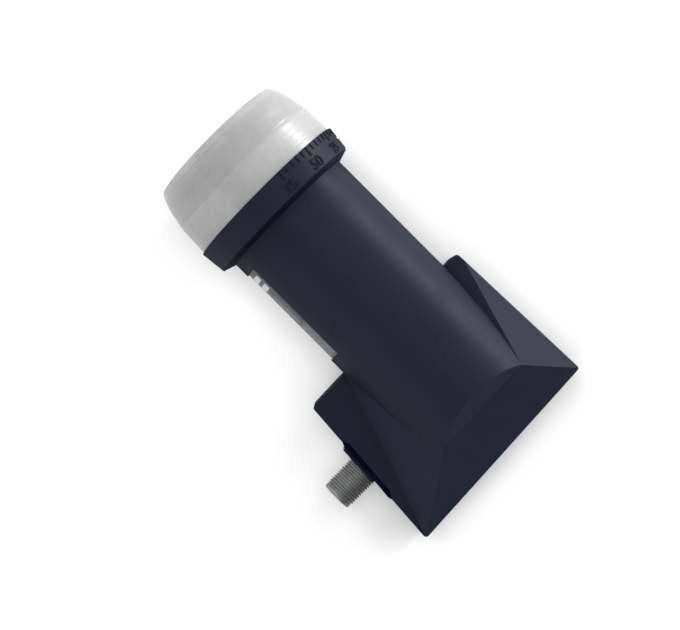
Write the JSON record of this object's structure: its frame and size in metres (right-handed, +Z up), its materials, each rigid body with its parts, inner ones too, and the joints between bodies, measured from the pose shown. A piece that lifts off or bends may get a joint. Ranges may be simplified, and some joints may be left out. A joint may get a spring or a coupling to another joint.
{
  "type": "satellite lnb",
  "caption": "Low-noise block for a satellite dish: capped feed horn on a round clamping neck, with a hip-roofed converter box and a threaded cable connector on its side.",
  "frame": {"origin": "on the neck's axis, halfway along the stretch that the dish arm's clamp holds", "axes": "+X runs rearward along the neck's axis, from the feed cap to the converter box; +Y points away from the cable connector; +Z points up out of the box's roof, away from its flat back"},
  "size_m": [0.12, 0.0731, 0.049],
  "materials": {
    "casing": "satin moulded, fine texture",
    "cap": "satin, slightly translucent",
    "rubber": "matte",
    "casting": "as cast",
    "board": "solder resist over fibre board",
    "probe": "gold flash",
    "white_plastic": "waxy",
    "sheet_metal": "brushed",
    "steel": "zinc plated",
    "plated_metal": "nickel plated, threaded",
    "collar": "smooth moulded, near black",
    "plate": "satin moulded",
    "chip_black": "moulded epoxy",
    "capacitor": "sleeved can",
    "chip_tan": "fired ceramic",
    "label": "printed film"
  },
  "bodies": {
    "root": {"near_shell": "casing", "back_shell": "casing", "shell_screws": "steel", "feed_cap": "cap", "cap_seal": "rubber", "horn_casting": "casting", "main_board": "board", "vertical_probe": "probe", "crosswise_probe": "probe", "probe_sleeves": "white_plastic", "isolation_pin": "probe", "shield_cover": "sheet_metal", "shield_screws": "steel", "connector_barrel": "plated_metal", "connector_insulator": "white_plastic", "connector_contact": "probe", "connector_collar": "collar", "connector_plate": "plate", "low_noise_transistors": "chip_black", "mixer_chip": "chip_black", "reference_crystal": "sheet_metal", "voltage_regulator": "chip_black", "storage_capacitor": "capacitor", "chip_parts": "chip_tan", "rating_label": "label"}
  },
  "joints": []
}
